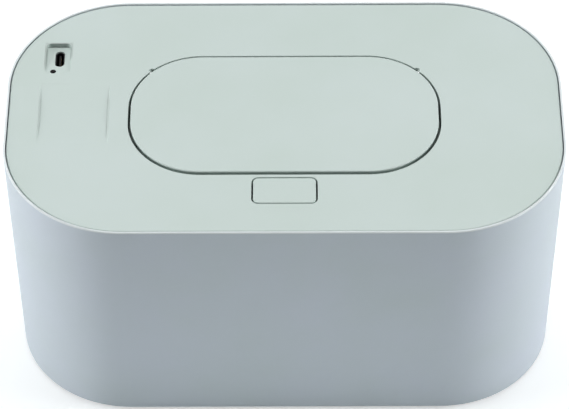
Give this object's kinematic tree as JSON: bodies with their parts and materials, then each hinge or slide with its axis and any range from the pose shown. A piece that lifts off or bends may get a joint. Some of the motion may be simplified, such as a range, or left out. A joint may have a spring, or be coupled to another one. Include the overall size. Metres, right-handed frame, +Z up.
{
  "type": "baby wipe warmer",
  "caption": "Rounded countertop baby wipe warmer with a lift-off heated cover, a flush flip lid over a dispensing port, a push button latch, a touch area and a USB-C socket.",
  "frame": {"origin": "centre of the footprint, on the standing surface under the rubber feet", "axes": "+X to the right along the length, -Y to the front where the button is, +Z up"},
  "size_m": [0.205, 0.1196, 0.1],
  "materials": {
    "cover_plastic": "satin",
    "shell_plastic": "satin",
    "inner_plastic": "satin",
    "latch_plastic": "satin",
    "black_plastic": "satin",
    "white_plastic": "gloss",
    "dark_lens": "gloss",
    "foam": "matte",
    "rubber": "matte",
    "silicone": "satin",
    "steel": "satin",
    "dark_steel": "satin",
    "aluminium": "satin",
    "heater_film": "gloss",
    "ceramic": "satin",
    "board": "satin",
    "red_wire": "satin",
    "white_wire": "satin"
  },
  "bodies": {
    "base": {"outer_shell": "shell_plastic", "insulation_sleeve": "foam", "inner_tub": "inner_plastic", "rubber_feet": "rubber"},
    "cover": {"top_cover": "cover_plastic", "cover_base": "inner_plastic", "cover_gasket": "silicone", "cover_screws": "steel", "hinge_pins": "steel", "lid_springs": "steel", "heating_plate": "aluminium", "heater_film": "heater_film", "plate_screws": "steel", "thermistor": "black_plastic", "thermal_fuse": "ceramic", "control_board": "board", "board_screws": "steel", "usb_socket": "dark_steel", "usb_tongue": "black_plastic", "indicator_led": "white_plastic", "indicator_lens": "dark_lens", "touch_electrode": "steel", "heater_leads": "red_wire", "sensor_lead": "white_wire", "button_spring": "steel"},
    "lid": {"flip_lid": "cover_plastic", "lid_liner": "inner_plastic", "lid_seal": "silicone"},
    "button": {"release_button": "cover_plastic"},
    "latch": {"latch_slider": "latch_plastic"}
  },
  "joints": [
    {"name": "cover_lift", "type": "slide", "parent": "base", "child": "cover", "axis": [0, 0, 1], "range_m": [0, 0.04]},
    {"name": "lid_hinge", "type": "hinge", "parent": "cover", "child": "lid", "pos_m": [0, 0.0226, 0.0986], "axis": [-1, 0, 0], "range_deg": [0, 90]},
    {"name": "button_press", "type": "slide", "parent": "cover", "child": "button", "axis": [0, 0, -1], "range_m": [0, 0.0016], "stiffness_N_per_m": 500, "springref_m": -0.001, "deforming": ["button_spring"]},
    {"name": "latch_slide", "type": "slide", "parent": "cover", "child": "latch", "axis": [0, -1, 0], "range_m": [0, 0.0016]}
  ],
  "couplings": [
    {"joint": "latch_slide", "follows": "button_press", "ratio": 1}
  ]
}
